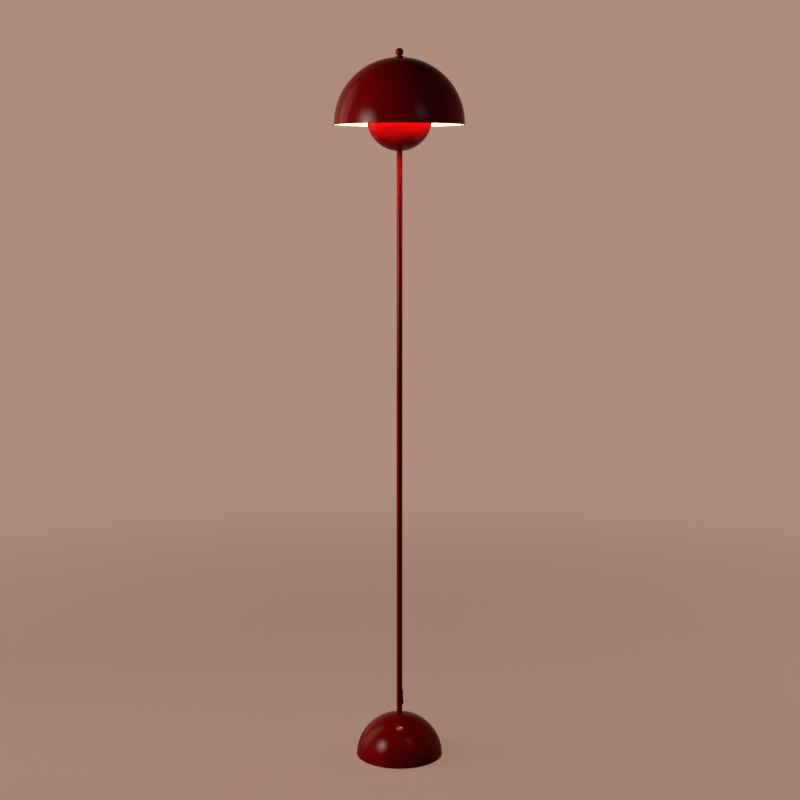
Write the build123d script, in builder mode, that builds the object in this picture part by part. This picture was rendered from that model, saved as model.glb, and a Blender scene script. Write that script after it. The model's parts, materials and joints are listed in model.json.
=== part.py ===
from build123d import *
import os
from math import acos, asin, atan2, cos, degrees, radians, sin, sqrt

# Mushroom floor lamp: a spun dome shade and a small bowl below it on a slim stem,
# standing on a weighted dome. Millimetres, +Z up, origin on the floor under the
# stem. -Y is the front, and the mains lead goes in at the back, +Y.

# ---------------------------------------------------------------- driving sizes
overall_height = 1283.0

# Shade: a spun steel dome, lacquered red outside and white inside.
shade_diameter = 230.0
shade_wall = 1.0
shade_lip = 1.8
shade_flat_radius = 7.0
shade_hole_radius = 3.3

# Ball nut that holds the shade down.
finial_height = 15.8
finial_ball_diameter = 14.0
finial_collar_diameter = 12.0
finial_collar_height = 2.6
finial_bore_depth = 11.8

# Bowl: the smaller dome turned upwards, half hidden in the shade.
bowl_diameter = 115.0
bowl_wall = 1.0
bowl_flat_radius = 8.0
bowl_rise = 12.0

# Stem tube.
stem_diameter = 10.4
stem_wall = 1.2

# Base: a spun steel dome over an iron casting, closed by a plate and a pad.
base_diameter = 158.0
base_height = 79.0
base_wall = 1.5
base_flat_radius = 8.0
pad_thickness = 2.0
pad_width = 15.0
pad_inset = 3.0
plate_thickness = 2.0

# Iron casting inside the base.
weight_thickness = 32.0
weight_clearance = 1.3
weight_shoulder = 6.0
boss_top_radius = 7.5
boss_root_radius = 15.0
boss_root_fillet = 6.0
casting_round = 2.0
channel_width = 24.0
channel_height = 22.0
pocket_radius = 15.0

# Threaded tubes, nuts and washers on the stem's axis.
nipple_bore_radius = 2.9
nipple_engagement = 12.0
foot_nipple_drop = 2.0
nut_across_flats = 13.0
nut_height = 4.5
nut_corner_share = 0.9
washer_radius = 7.4
washer_thickness = 1.0
foot_washer_radius = 10.0
holder_entry = 7.0

# Screws that hold the base plate to the casting.
plate_screw_count = 3
plate_screw_inset = 30.0
plate_screw_radius = 1.9
plate_screw_head_radius = 3.7
plate_screw_length = 14.0
plate_screw_angle = -90.0

# Mains inlet and what waits for the lead inside the base.
inlet_height = 12.0
inlet_bore_radius = 3.1
bush_neck_radius = 4.8
bush_flange_radius = 6.6
bush_flange_thickness = 1.2
bush_outer_reach = 5.0
bush_inner_reach = 10.0
clamp_gap = 7.0
clamp_width = 21.0
clamp_depth = 9.0
clamp_height = 13.0
clamp_screw_spacing = 14.0
clamp_screw_radius = 1.4
clamp_screw_head_radius = 2.4
clamp_screw_head_height = 1.6
block_width = 18.0
block_depth = 19.0
block_height = 12.0
block_gap = 6.0
block_pole_spacing = 8.0
block_screw_radius = 1.5
block_screw_height = 1.2

# Lead inside the lamp, from the terminal block to the lampholder.
lead_radius = 1.4
lead_offset = 1.3
lead_height = 8.0
lead_bend_radius = 8.5

# Rocker switch let into the back of the stem, turned towards the right.
switch_stand = 29.7
switch_turn = 38.0
bezel_length = 31.5
bezel_width = 7.4
bezel_stand = 1.3
bezel_round = 0.6
switch_body_length = 28.6
switch_body_width = 5.6
switch_body_depth = 4.7
switch_floor = 0.7
rocker_length = 26.4
rocker_width = 3.8
rocker_end_height = 3.9
rocker_middle_height = 2.4
rocker_tilt = 7.0
rocker_skirt_depth = 1.0
rocker_skirt_length = 23.0
rocker_heel_depth = 2.8
rocker_heel_width = 3.0
rocker_end_gap = 0.5
pin_depth = 0.3
pin_radius = 0.6
contact_thickness = 0.3
contact_width = 3.0

# Harp: a flat strip bent into a loop round the bulb, which carries the shade.
harp_width = 12.0
harp_thickness = 1.5
harp_foot_half = 22.0
harp_half_width = 43.5
harp_rise = 40.0
harp_head_half = 16.0
harp_shoulder = 45.0
harp_bends = [10.0, 22.0, 26.0, 14.0]

# Stud on top of the harp.
stud_radius = 3.0
stud_flange_radius = 6.6
stud_flange_thickness = 2.0
stud_nut_height = 3.2
stud_nut_across_flats = 10.0
stud_tail = 0.8
shade_washer_thickness = 1.0

# Lampholder for a medium screw bulb.
holder_radius = 19.5
holder_wall = 2.0
holder_neck_radius = 9.5
holder_cap_height = 16.0
holder_cap_round = 9.0
holder_height = 47.0
holder_mouth_radius = 14.9
holder_rib_count = 4
holder_rib_depth = 0.6
core_bottom = 9.5
core_height = 12.5
core_step_height = 3.0
thread_shell_wall = 0.5
thread_shell_height = 22.0
centre_contact_radius = 4.0
centre_contact_height = 1.8

# Bulb: frosted pear shape with a screw cap.
bulb_diameter = 60.0
bulb_length = 105.0
bulb_neck_radius = 13.6
bulb_neck_height = 8.0
bulb_neck_bend = 30.0
bulb_glass_wall = 0.9
bulb_cap_radius = 13.2
bulb_cap_length = 25.0
bulb_cap_wall = 0.8
bulb_cone_height = 4.5
bulb_contact_radius = 4.6
bulb_contact_height = 1.6
bulb_insulator_height = 2.2

# Clearances.
thread_gap = 0.05
fit_gap = 0.3
drop_gap = 0.2
hole_gap = 0.25

# -------------------------------------------------------------- derived places
shade_radius = shade_diameter / 2
bowl_radius = bowl_diameter / 2
stem_radius = stem_diameter / 2
stem_bore_radius = stem_radius - stem_wall
nipple_radius = stem_bore_radius - thread_gap


def reach(radius, height):
    """Radius of the slice of a sphere at this height from its centre."""
    return sqrt(radius**2 - height**2)


# From the ball nut down to the shade's rim.
shade_top = overall_height - finial_height
shade_centre = shade_top - reach(shade_radius, shade_flat_radius)
shade_rim = shade_centre - shade_lip
shade_seat = shade_centre + reach(shade_radius - shade_wall, shade_flat_radius)

# Bowl.
bowl_centre = shade_rim + bowl_rise
bowl_bottom = bowl_centre - reach(bowl_radius, bowl_flat_radius)
bowl_floor = bowl_centre - reach(bowl_radius - bowl_wall, bowl_flat_radius)

# Base dome: the sphere through the rim and the crown.
dome_rim = pad_thickness
dome_rise = base_height - dome_rim
dome_radius = ((base_diameter / 2) ** 2 + dome_rise**2) / (2 * dome_rise)
dome_centre = base_height - dome_radius
dome_inner_radius = dome_radius - base_wall
dome_top = dome_centre + reach(dome_radius, base_flat_radius)
dome_seat = dome_centre + reach(dome_inner_radius, base_flat_radius)
plate_top = pad_thickness + plate_thickness
plate_radius = reach(dome_inner_radius, plate_top - dome_centre) - fit_gap
plate_screw_circle = plate_radius - plate_screw_inset
plate_screw_taper = plate_screw_head_radius - plate_screw_radius

# Casting and what hangs under it.
weight_top = plate_top + weight_thickness
weight_top_radius = reach(dome_inner_radius - weight_clearance, weight_top - dome_centre)
weight_foot_radius = reach(dome_inner_radius - weight_clearance, plate_top - dome_centre)
channel_top = plate_top + channel_height
foot_washer_bottom = channel_top - washer_thickness
foot_nut_bottom = foot_washer_bottom - nut_height
foot_nipple_bottom = foot_nut_bottom - foot_nipple_drop

# Inlet, clamp and terminals follow one another inwards from the dome's wall.
inlet_reach = reach(dome_radius, inlet_height - dome_centre)
bush_outer_end = inlet_reach + bush_outer_reach
bush_inner_end = inlet_reach - bush_inner_reach
clamp_front = bush_inner_end - clamp_gap - clamp_depth
clamp_centre = clamp_front + clamp_depth / 2
block_front = clamp_front - block_gap - block_depth
block_centre = block_front + block_depth / 2

# Stack on the bowl's floor, upwards: washer, nut, harp, lampholder.
bowl_nut_bottom = bowl_floor + washer_thickness
harp_bottom = bowl_nut_bottom + nut_height
holder_bottom = harp_bottom + harp_thickness

# Stack under the shade, downwards: washer, stud flange, harp, nut.
stud_flange_top = shade_seat - shade_washer_thickness
harp_top = stud_flange_top - stud_flange_thickness
stud_nut_top = harp_top - harp_thickness
stud_bottom = stud_nut_top - stud_nut_height - stud_tail
stud_top = shade_top + finial_bore_depth - fit_gap

# Lampholder and bulb.
core_base = holder_bottom + core_bottom
core_top = core_base + core_height
holder_top = holder_bottom + holder_height
thread_shell_inner = bulb_cap_radius + fit_gap
bulb_bottom = core_top + core_step_height + centre_contact_height + fit_gap
bulb_cap_top = bulb_bottom + bulb_cap_length
bulb_top = bulb_bottom + bulb_length

# Switch: its own planes, one facing out of the stem and one across it.
switch_out = Vector(sin(radians(switch_turn)), cos(radians(switch_turn)), 0)
switch_across = Vector(cos(radians(switch_turn)), -sin(radians(switch_turn)), 0)
switch_height = dome_top + switch_stand
switch_centre = Vector(0, 0, switch_height)
switch_face = Plane(origin=switch_centre, x_dir=(0, 0, 1), z_dir=switch_out)
bezel_top = stem_radius + bezel_stand
switch_body_inner = stem_radius - switch_body_depth
pin_reach = stem_radius - pin_depth
pin_centre = switch_centre + switch_out * pin_reach
pocket_length = rocker_length + 2 * rocker_end_gap
pocket_width = rocker_width + 2 * drop_gap
contact_top = switch_body_inner + switch_floor + contact_thickness

# The lead runs beside the stem's axis, on the side away from the switch.
lead_x = -switch_out.X * lead_offset
lead_y = -switch_out.Y * lead_offset

os.makedirs("parts", exist_ok=True)


def save(part, name):
    """Label a finished piece and write its file."""
    part.label = name
    export_step(part, f"parts/{name}.step")
    print(f"{name}: {len(part.solids())} solid(s), {part.volume:.1f} mm3")


# ------------------------------------------------------------ repeated shapes
def spun_shell(radius, wall, centre, rim, flat, hole, side):
    """Dome of sheet metal with a flat, holed crown. side is 1 for a crown on top.

    Where the rim lies past the sphere's widest slice, the wall runs straight to it.
    """
    inner = radius - wall
    start = max(0.0, side * (rim - centre))
    with BuildPart() as shell:
        with BuildSketch(Plane.XZ):
            with BuildLine():
                outer_from = degrees(asin(start / radius))
                outer_to = degrees(acos(flat / radius))
                inner_from = degrees(asin(start / inner))
                inner_to = degrees(acos(flat / inner))
                outer_arc = CenterArc(
                    (0, centre), radius, side * outer_from, side * (outer_to - outer_from)
                )
                inner_arc = CenterArc(
                    (0, centre), inner, side * inner_from, side * (inner_to - inner_from)
                )
                Polyline(
                    outer_arc @ 1,
                    (hole, (outer_arc @ 1).Y),
                    (hole, (inner_arc @ 1).Y),
                    inner_arc @ 1,
                )
                if side * (centre - rim) > 0:
                    Polyline(outer_arc @ 0, (radius, rim), (inner, rim), inner_arc @ 0)
                else:
                    Line(outer_arc @ 0, inner_arc @ 0)
            make_face()
        revolve(axis=Axis.Z)
    return shell.part


def ring(outer, inner, bottom, height):
    """Flat ring or short tube on the lamp's axis."""
    with BuildPart() as part:
        with BuildSketch(Plane.XY.offset(bottom)):
            Circle(outer)
            Circle(inner, mode=Mode.SUBTRACT)
        extrude(amount=height)
    return part.part


def hex_nut(across_flats, bore, bottom, height):
    """Hexagon nut on the lamp's axis, its corners taken off by a cone above and below."""
    corner = across_flats / sqrt(3)
    bevel = (corner - across_flats / 2) * nut_corner_share
    with BuildPart() as nut:
        with BuildSketch(Plane.XY.offset(bottom)):
            RegularPolygon(radius=corner, side_count=6)
        extrude(amount=height)
        with BuildSketch(Plane.XZ):
            with BuildLine():
                Polyline(
                    (0, bottom),
                    (corner - bevel, bottom),
                    (corner, bottom + bevel),
                    (corner, bottom + height - bevel),
                    (corner - bevel, bottom + height),
                    (0, bottom + height),
                    close=True,
                )
            make_face()
        revolve(axis=Axis.Z, mode=Mode.INTERSECT)
        with BuildSketch(Plane.XY.offset(bottom)):
            Circle(bore)
        extrude(amount=height, mode=Mode.SUBTRACT)
    return nut.part


# ------------------------------------------------------------------------ base
save(
    ring(
        base_diameter / 2 - pad_inset,
        base_diameter / 2 - pad_inset - pad_width,
        0,
        pad_thickness,
    ),
    "floor_pad",
)

# Steel plate in the dome's mouth, countersunk for its screws.
with BuildPart() as base_plate:
    with BuildSketch(Plane.XY.offset(pad_thickness)):
        Circle(plate_radius)
    extrude(amount=plate_thickness)
    with Locations(Plane(origin=(0, 0, pad_thickness), x_dir=(1, 0, 0), z_dir=(0, 0, -1))):
        with PolarLocations(
            plate_screw_circle, plate_screw_count, start_angle=-plate_screw_angle
        ):
            CounterSinkHole(
                plate_screw_radius + hole_gap,
                plate_screw_head_radius,
                plate_thickness,
                counter_sink_angle=90,
            )
save(base_plate.part, "base_plate")

# Countersunk screws, heads level with the plate.
with BuildPart() as plate_screws:
    with PolarLocations(plate_screw_circle, plate_screw_count, start_angle=plate_screw_angle):
        with Locations((0, 0, pad_thickness + plate_screw_taper / 2)):
            Cone(plate_screw_head_radius, plate_screw_radius, plate_screw_taper)
        with Locations((0, 0, pad_thickness + plate_screw_taper)):
            Cylinder(
                plate_screw_radius,
                plate_screw_length - plate_screw_taper,
                align=(Align.CENTER, Align.CENTER, Align.MIN),
            )
save(plate_screws.part, "plate_screws")

# Iron casting: a thick disc that follows the dome, and a tall boss under its crown.
with BuildPart() as base_weight:
    with BuildSketch(Plane.XZ) as section:
        with BuildLine():
            Polyline(
                (0, plate_top),
                (weight_foot_radius, plate_top),
                (weight_foot_radius, plate_top + weight_shoulder),
                (weight_top_radius, weight_top),
                (boss_root_radius, weight_top),
                (boss_top_radius, dome_seat),
                (0, dome_seat),
                close=True,
            )
        make_face()
        outline = section.vertices().sort_by(Axis.X)
        fillet(outline[-3:], casting_round)
        fillet(
            section.vertices().sort_by_distance((boss_root_radius, weight_top))[0],
            boss_root_fillet,
        )
    revolve(axis=Axis.Z)
    # Bore for the threaded tube, with a pocket and a channel below for the wiring.
    with BuildSketch(Plane.XY.offset(plate_top)):
        Circle(nipple_radius + hole_gap)
    extrude(amount=dome_seat - plate_top, mode=Mode.SUBTRACT)
    with BuildSketch(Plane.XY.offset(plate_top)):
        Circle(pocket_radius)
        with Locations((0, weight_foot_radius / 2)):
            Rectangle(channel_width, weight_foot_radius + 2 * fit_gap)
    extrude(amount=channel_height, mode=Mode.SUBTRACT)
    with BuildSketch(Plane.XY.offset(plate_top)):
        with PolarLocations(
            plate_screw_circle, plate_screw_count, start_angle=plate_screw_angle
        ):
            Circle(plate_screw_radius + thread_gap)
    extrude(amount=plate_screw_length, mode=Mode.SUBTRACT)
save(base_weight.part, "base_weight")

# Dome, with a hole at the back for the inlet bush.
with BuildPart() as base_dome:
    add(
        spun_shell(
            dome_radius,
            base_wall,
            dome_centre,
            dome_rim,
            base_flat_radius,
            nipple_radius + hole_gap,
            1,
        )
    )
    with BuildSketch(Plane.XZ.offset(-bush_inner_end)):
        with Locations((0, inlet_height)):
            Circle(bush_neck_radius + thread_gap)
    extrude(amount=-(bush_outer_end - bush_inner_end), mode=Mode.SUBTRACT)
save(base_dome.part, "base_dome")

# Rubber bush: a flange on each face of the wall, both bent to the dome's curve.
with BuildPart() as cord_bush:
    with BuildSketch(Plane.XZ.offset(-bush_inner_end)):
        with Locations((0, inlet_height)):
            Circle(bush_flange_radius)
    extrude(amount=-(bush_outer_end - bush_inner_end))
    with Locations((0, 0, dome_centre)):
        Sphere(dome_radius + bush_flange_thickness, mode=Mode.INTERSECT)
        Sphere(dome_inner_radius - bush_flange_thickness, mode=Mode.SUBTRACT)
    add(base_dome.part, mode=Mode.SUBTRACT)
    with BuildSketch(Plane.XZ.offset(-bush_inner_end)):
        with Locations((0, inlet_height)):
            Circle(bush_neck_radius)
    extrude(amount=-(bush_outer_end - bush_inner_end))
    fillet(
        cord_bush.edges().filter_by(GeomType.CIRCLE).sort_by(Axis.Y)[-1],
        bush_flange_thickness / 2,
    )
    with BuildSketch(Plane.XZ.offset(-bush_inner_end)):
        with Locations((0, inlet_height)):
            Circle(inlet_bore_radius)
    extrude(amount=-(bush_outer_end - bush_inner_end), mode=Mode.SUBTRACT)
save(cord_bush.part, "cord_bush")

# Saddle that grips the mains lead, between the bush and the terminals.
clamp_screw_places = [
    (side * clamp_screw_spacing / 2, clamp_centre) for side in (-1, 1)
]
with BuildPart() as cord_clamp:
    with BuildSketch(Plane.XZ.offset(-clamp_front)):
        with Locations((0, plate_top + clamp_height / 2)):
            RectangleRounded(clamp_width, clamp_height, casting_round)
        with Locations((0, inlet_height)):
            Circle(inlet_bore_radius, mode=Mode.SUBTRACT)
    extrude(amount=-clamp_depth)
    with BuildSketch(Plane.XY.offset(plate_top)):
        with Locations(*clamp_screw_places):
            Circle(clamp_screw_radius + thread_gap)
    extrude(amount=clamp_height, mode=Mode.SUBTRACT)
save(cord_clamp.part, "cord_clamp")

with BuildPart() as clamp_screws:
    with Locations(*[(x, y, plate_top) for x, y in clamp_screw_places]):
        Cylinder(
            clamp_screw_radius, clamp_height, align=(Align.CENTER, Align.CENTER, Align.MIN)
        )
    with Locations(*[(x, y, plate_top + clamp_height) for x, y in clamp_screw_places]):
        Cylinder(
            clamp_screw_head_radius,
            clamp_screw_head_height,
            align=(Align.CENTER, Align.CENTER, Align.MIN),
        )
save(clamp_screws.part, "clamp_screws")

# Two-pole terminal block on the plate, with its screws on top.
block_screw_places = [
    (side_x * block_pole_spacing / 2, block_centre + side_y * block_depth / 4)
    for side_x in (-1, 1)
    for side_y in (-1, 1)
]
with BuildPart() as terminal_block:
    with BuildSketch(Plane.XY.offset(plate_top)):
        with Locations((0, block_centre)):
            RectangleRounded(block_width, block_depth, casting_round)
    extrude(amount=block_height)
    with BuildSketch(Plane.XY.offset(plate_top + block_height)):
        with Locations((0, block_centre)):
            Rectangle(block_screw_radius, block_depth)
    extrude(amount=-block_height / 3, mode=Mode.SUBTRACT)
save(terminal_block.part, "terminal_block")

with BuildPart() as terminal_screws:
    with Locations(*[(x, y, plate_top + block_height) for x, y in block_screw_places]):
        Cylinder(
            block_screw_radius, block_screw_height, align=(Align.CENTER, Align.CENTER, Align.MIN)
        )
save(terminal_screws.part, "terminal_screws")

# Threaded tube from under the casting into the stem's foot, its nut and washer.
save(
    ring(
        nipple_radius,
        nipple_bore_radius,
        foot_nipple_bottom,
        dome_top + nipple_engagement - foot_nipple_bottom,
    ),
    "foot_nipple",
)
save(
    ring(foot_washer_radius, nipple_radius + hole_gap, foot_washer_bottom, washer_thickness),
    "foot_washer",
)
save(
    hex_nut(nut_across_flats, nipple_radius + thread_gap, foot_nut_bottom, nut_height),
    "foot_nut",
)

# ------------------------------------------------------------------------ stem
# Tube with a slot for the switch.
with BuildPart() as stem_tube:
    add(ring(stem_radius, stem_bore_radius, dome_top, bowl_bottom - dome_top))
    with BuildSketch(switch_face):
        RectangleRounded(
            switch_body_length + 2 * thread_gap,
            switch_body_width + 2 * thread_gap,
            bezel_round,
        )
    extrude(amount=stem_diameter, mode=Mode.SUBTRACT)
save(stem_tube.part, "stem_tube")

# Switch housing: a rounded frame saddled on the tube, and a body through the slot.
with BuildPart() as switch_housing:
    with BuildSketch(switch_face):
        SlotOverall(bezel_length, bezel_width)
    extrude(amount=bezel_top)
    fillet(
        switch_housing.faces().sort_by(Axis(switch_centre, switch_out))[-1].edges(), bezel_round
    )
    with Locations((0, 0, switch_height)):
        Cylinder(stem_radius, 2 * bezel_length, mode=Mode.SUBTRACT)
    with BuildSketch(switch_face.offset(switch_body_inner)):
        RectangleRounded(switch_body_length, switch_body_width, bezel_round)
    extrude(amount=bezel_top - bezel_round - switch_body_inner)
    with BuildSketch(switch_face.offset(switch_body_inner + switch_floor)):
        Rectangle(pocket_length, pocket_width)
    extrude(amount=bezel_top, mode=Mode.SUBTRACT)
    with BuildSketch(Plane(origin=pin_centre, x_dir=(0, 0, 1), z_dir=switch_across)):
        Circle(pin_radius)
    extrude(amount=switch_body_width / 2, both=True, mode=Mode.SUBTRACT)
save(switch_housing.part, "switch_housing")

# Rocker, tipped to its lit position: upper end in, lower end out.
rocker_up = Vector(0, 0, 1) * cos(radians(rocker_tilt)) - switch_out * sin(radians(rocker_tilt))
rocker_side = Plane(origin=pin_centre, x_dir=rocker_up, z_dir=switch_across * -1)
with BuildPart() as switch_rocker:
    with BuildSketch(rocker_side):
        with BuildLine():
            Polyline(
                (-rocker_length / 2, rocker_end_height),
                (0, rocker_middle_height),
                (rocker_length / 2, rocker_end_height),
                (rocker_length / 2, 0),
                (rocker_skirt_length / 2, -rocker_skirt_depth),
                (rocker_heel_width / 2, -rocker_skirt_depth),
                (rocker_heel_width / 4, -rocker_heel_depth),
                (-rocker_heel_width / 4, -rocker_heel_depth),
                (-rocker_heel_width / 2, -rocker_skirt_depth),
                (-rocker_skirt_length / 2, -rocker_skirt_depth),
                (-rocker_length / 2, 0),
                close=True,
            )
        make_face()
        Circle(pin_radius + thread_gap, mode=Mode.SUBTRACT)
    extrude(amount=rocker_width / 2, both=True)
save(switch_rocker.part, "switch_rocker")

with BuildPart() as rocker_pin:
    with BuildSketch(Plane(origin=pin_centre, x_dir=(0, 0, 1), z_dir=switch_across)):
        Circle(pin_radius)
    extrude(amount=switch_body_width / 2, both=True)
save(rocker_pin.part, "rocker_pin")

with BuildPart() as switch_contact:
    with BuildSketch(switch_face.offset(contact_top - contact_thickness)):
        Rectangle(pocket_length, contact_width)
    extrude(amount=contact_thickness)
save(switch_contact.part, "switch_contact")

# Two-core lead: along the channel, round one bend and up the stem to the lampholder.
lead_from = Vector(lead_x, block_front, lead_height)
lead_corner = Vector(lead_x, lead_y, lead_height)
lead_to = Vector(lead_x, lead_y, core_base)
with BuildPart() as inner_lead:
    with BuildLine() as lead_path:
        FilletPolyline(lead_from, lead_corner, lead_to, radius=lead_bend_radius)
    with BuildSketch(Plane(origin=lead_from, z_dir=(0, -1, 0))):
        Circle(lead_radius)
    sweep(path=lead_path.line)
save(inner_lead.part, "inner_lead")

# ------------------------------------------------------------------------ bowl
save(
    ring(
        nipple_radius,
        nipple_bore_radius,
        bowl_bottom - nipple_engagement,
        holder_bottom + holder_entry - bowl_bottom + nipple_engagement,
    ),
    "bowl_nipple",
)
save(
    spun_shell(
        bowl_radius,
        bowl_wall,
        bowl_centre,
        bowl_centre,
        bowl_flat_radius,
        nipple_radius + hole_gap,
        -1,
    ),
    "bowl",
)
save(ring(washer_radius, nipple_radius + hole_gap, bowl_floor, washer_thickness), "bowl_washer")
save(hex_nut(nut_across_flats, nipple_radius + thread_gap, bowl_nut_bottom, nut_height), "bowl_nut")

# ------------------------------------------------------------------------ harp
# One strip bent into a closed loop, holed at its foot and at its head.
with BuildPart() as harp:
    with BuildSketch(Plane.XZ):
        with BuildLine():
            half_loop = FilletPolyline(
                (0, harp_bottom),
                (harp_foot_half, harp_bottom),
                (harp_half_width, harp_bottom + harp_rise),
                (harp_half_width, harp_top - harp_shoulder),
                (harp_head_half, harp_top),
                (0, harp_top),
                radius=harp_bends,
            )
            mirror(half_loop, about=Plane.YZ)
        make_face()
        offset(amount=-harp_thickness, mode=Mode.SUBTRACT)
    extrude(amount=harp_width / 2, both=True)
    with BuildSketch(Plane.XY.offset(harp_bottom)):
        Circle(nipple_radius + hole_gap)
    extrude(amount=harp_thickness, mode=Mode.SUBTRACT)
    with BuildSketch(Plane.XY.offset(harp_top)):
        Circle(stud_radius + thread_gap)
    extrude(amount=-harp_thickness, mode=Mode.SUBTRACT)
save(harp.part, "harp")

# Threaded stud with a flange that sits on the harp.
with BuildPart() as shade_stud:
    with BuildSketch(Plane.XY.offset(stud_bottom)):
        Circle(stud_radius)
    extrude(amount=stud_top - stud_bottom)
    with BuildSketch(Plane.XY.offset(harp_top)):
        Circle(stud_flange_radius)
    extrude(amount=stud_flange_thickness)
    chamfer(shade_stud.faces().sort_by(Axis.Z)[-1].edges(), stud_radius / 6)
save(shade_stud.part, "shade_stud")
save(
    hex_nut(
        stud_nut_across_flats,
        stud_radius + thread_gap,
        stud_nut_top - stud_nut_height,
        stud_nut_height,
    ),
    "stud_nut",
)
save(
    ring(stud_flange_radius, stud_radius + hole_gap, stud_flange_top, shade_washer_thickness),
    "shade_washer",
)

# ------------------------------------------------------------------ lampholder
holder_inner = holder_radius - holder_wall
skirt_bottom = holder_bottom + holder_cap_height

# Cap: a cup that screws onto the threaded tube.
with BuildPart() as holder_cap:
    with BuildSketch(Plane.XZ) as section:
        with BuildLine():
            Polyline(
                (0, holder_bottom),
                (holder_radius, holder_bottom),
                (holder_radius, skirt_bottom),
                (0, skirt_bottom),
                close=True,
            )
        make_face()
        fillet(
            section.vertices().sort_by_distance((holder_radius, holder_bottom))[0],
            holder_cap_round,
        )
        with BuildLine():
            Polyline(
                (0, holder_bottom + holder_wall),
                (holder_inner, holder_bottom + holder_cap_round),
                (holder_inner, skirt_bottom),
                (0, skirt_bottom),
                close=True,
            )
        make_face(mode=Mode.SUBTRACT)
    revolve(axis=Axis.Z)
    with BuildSketch(Plane.XY.offset(holder_bottom)):
        Circle(holder_neck_radius)
    extrude(amount=holder_entry)
    with BuildSketch(Plane.XY.offset(holder_bottom)):
        Circle(nipple_radius + thread_gap)
    extrude(amount=holder_cap_height, mode=Mode.SUBTRACT)
save(holder_cap.part, "holder_cap")

# Skirt: the outer sleeve, turned in at the mouth and grooved for the grip, with one
# pitch left plain at each end.
rib_pitch = (holder_height - holder_cap_height) / (holder_rib_count + 2)
with BuildPart() as holder_skirt:
    with BuildSketch(Plane.XY.offset(skirt_bottom)):
        Circle(holder_radius)
        Circle(holder_inner, mode=Mode.SUBTRACT)
    extrude(amount=holder_top - skirt_bottom)
    with BuildSketch(Plane.XY.offset(holder_top)):
        Circle(holder_inner)
        Circle(holder_mouth_radius, mode=Mode.SUBTRACT)
    extrude(amount=-holder_wall)
    with BuildSketch(Plane.XZ):
        with Locations(
            *[
                (holder_radius, skirt_bottom + rib_pitch * (step + 1.5))
                for step in range(holder_rib_count)
            ]
        ):
            Rectangle(2 * holder_rib_depth, rib_pitch / 2)
    revolve(axis=Axis.Z, mode=Mode.SUBTRACT)
    top_edges = holder_skirt.edges().filter_by(GeomType.CIRCLE).group_by(Axis.Z)[-1]
    chamfer(top_edges.sort_by(SortBy.RADIUS)[-1], holder_rib_depth)
save(holder_skirt.part, "holder_skirt")

# Ceramic core, stepped up inside the threaded shell.
with BuildPart() as holder_core:
    with BuildSketch(Plane.XY.offset(core_base)):
        Circle(holder_inner - drop_gap)
    extrude(amount=core_height)
    with BuildSketch(Plane.XY.offset(core_top)):
        Circle(thread_shell_inner - drop_gap)
    extrude(amount=core_step_height)
save(holder_core.part, "holder_core")
save(
    ring(
        thread_shell_inner + thread_shell_wall,
        thread_shell_inner,
        core_top,
        thread_shell_height,
    ),
    "thread_shell",
)

# Sprung tongue that meets the bulb's contact.
with BuildPart() as centre_contact:
    with BuildSketch(Plane.XY.offset(core_top + core_step_height)):
        Circle(centre_contact_radius)
    extrude(amount=centre_contact_height)
    fillet(
        centre_contact.faces().sort_by(Axis.Z)[-1].edges(), centre_contact_height / 2
    )
save(centre_contact.part, "centre_contact")

# ------------------------------------------------------------------------ bulb
ball_radius = bulb_diameter / 2
ball_centre = bulb_top - ball_radius
cone_foot = bulb_cap_top + bulb_neck_height


def bulb_outline(inset):
    """Half section of the glass, drawn in by the inset: a neck, a tangent cone and a ball."""
    radius = ball_radius - inset
    neck = bulb_neck_radius - inset
    away = sqrt(neck**2 + (ball_centre - cone_foot) ** 2)
    turn = atan2(cone_foot - ball_centre, neck) + acos(radius / away)
    with BuildSketch(Plane.XZ) as outline:
        with BuildLine():
            ball = CenterArc((0, ball_centre), radius, degrees(turn), 90 - degrees(turn))
            Polyline(
                ball @ 1, (0, bulb_cap_top), (neck, bulb_cap_top), (neck, cone_foot), ball @ 0
            )
        make_face()
        fillet(outline.vertices().sort_by_distance((neck, cone_foot))[0], bulb_neck_bend)
    return outline.sketch


with BuildPart() as bulb_glass:
    revolve(bulb_outline(0.0), axis=Axis.Z)
    revolve(bulb_outline(bulb_glass_wall), axis=Axis.Z, mode=Mode.SUBTRACT)
save(bulb_glass.part, "bulb_glass")

# Screw cap: a thin shell that narrows to the insulator.
cap_cone_bottom = bulb_bottom + bulb_contact_height + bulb_insulator_height
cap_cone_top = cap_cone_bottom + bulb_cone_height
cap_mouth = bulb_cap_radius - bulb_cone_height
with BuildPart() as bulb_cap:
    with BuildSketch(Plane.XZ):
        with BuildLine():
            Polyline(
                (cap_mouth, cap_cone_bottom),
                (bulb_cap_radius, cap_cone_top),
                (bulb_cap_radius, bulb_cap_top),
                (bulb_cap_radius - bulb_cap_wall, bulb_cap_top),
                (bulb_cap_radius - bulb_cap_wall, cap_cone_top),
                (cap_mouth - bulb_cap_wall, cap_cone_bottom),
                close=True,
            )
        make_face()
    revolve(axis=Axis.Z)
save(bulb_cap.part, "bulb_cap")

with BuildPart() as bulb_insulator:
    with BuildSketch(Plane.XZ):
        with BuildLine():
            Polyline(
                (0, bulb_bottom + bulb_contact_height),
                (bulb_contact_radius, bulb_bottom + bulb_contact_height),
                (cap_mouth, cap_cone_bottom),
                (0, cap_cone_bottom),
                close=True,
            )
        make_face()
    revolve(axis=Axis.Z)
save(bulb_insulator.part, "bulb_insulator")

with BuildPart() as bulb_contact:
    with BuildSketch(Plane.XY.offset(bulb_bottom)):
        Circle(bulb_contact_radius)
    extrude(amount=bulb_contact_height)
    fillet(bulb_contact.faces().sort_by(Axis.Z)[0].edges(), bulb_contact_height / 2)
save(bulb_contact.part, "bulb_contact")

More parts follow.
